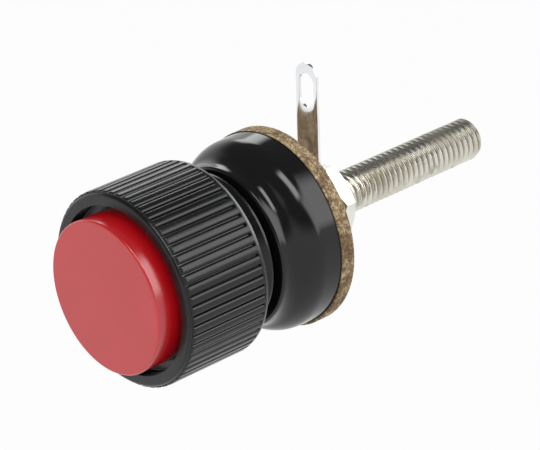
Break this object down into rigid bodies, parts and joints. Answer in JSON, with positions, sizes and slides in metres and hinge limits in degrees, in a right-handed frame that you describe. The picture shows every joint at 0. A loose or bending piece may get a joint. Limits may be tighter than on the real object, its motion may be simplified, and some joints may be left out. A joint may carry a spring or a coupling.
{
  "type": "binding post",
  "caption": "Insulated binding post with a red cap, captive ribbed screw knob, rounded black base, fibre panel washers, hexagon nuts, upright solder tag and long threaded stud.",
  "frame": {"origin": "on the post's axis at the panel seat, where the panel goes between the two fibre washers", "axes": "+Y runs back along the stud, -Y towards the red cap, +Z along the solder tag"},
  "size_m": [0.0278, 0.0676, 0.0357],
  "materials": {
    "red_cap": "semi-gloss red moulding",
    "black_knob": "satin black moulding",
    "black_base": "glossy black moulding",
    "brass": "turned",
    "spring_steel": "plain",
    "plated_stud": "nickel plated, threaded",
    "plated_nut": "bright nickel plated",
    "tinned_tag": "tinned sheet",
    "fibre": "speckled tan pressed fibre"
  },
  "bodies": {
    "post": {"stud": "plated_stud", "stop_ring": "spring_steel", "base": "black_base", "front_washer": "fibre", "rear_washer": "fibre", "clamp_nut": "plated_nut", "solder_tag": "tinned_tag"},
    "bush": {"knob_bush": "brass"},
    "knob": {"knob": "black_knob", "colour_cap": "red_cap"},
    "tag_washer": {"tag_washer": "plated_nut"},
    "terminal_nut": {"terminal_nut": "plated_nut"}
  },
  "joints": [
    {"name": "knob_travel", "type": "slide", "parent": "post", "child": "bush", "axis": [0, -1, 0], "range_m": [0, 0.0045]},
    {"name": "knob_turn", "type": "hinge", "parent": "bush", "child": "knob", "pos_m": [0, 0, 0], "axis": [0, -1, 0], "range_deg": [0, 1620]},
    {"name": "nut_travel", "type": "slide", "parent": "post", "child": "tag_washer", "axis": [0, 1, 0], "range_m": [0, 0.027]},
    {"name": "nut_turn", "type": "hinge", "parent": "tag_washer", "child": "terminal_nut", "pos_m": [0, 0, 0], "axis": [0, 1, 0], "range_deg": [0, 9720]}
  ],
  "couplings": [
    {"joint": "knob_turn", "follows": "knob_travel", "rad_per_m": 6283.2},
    {"joint": "nut_turn", "follows": "nut_travel", "rad_per_m": 6283.2}
  ]
}
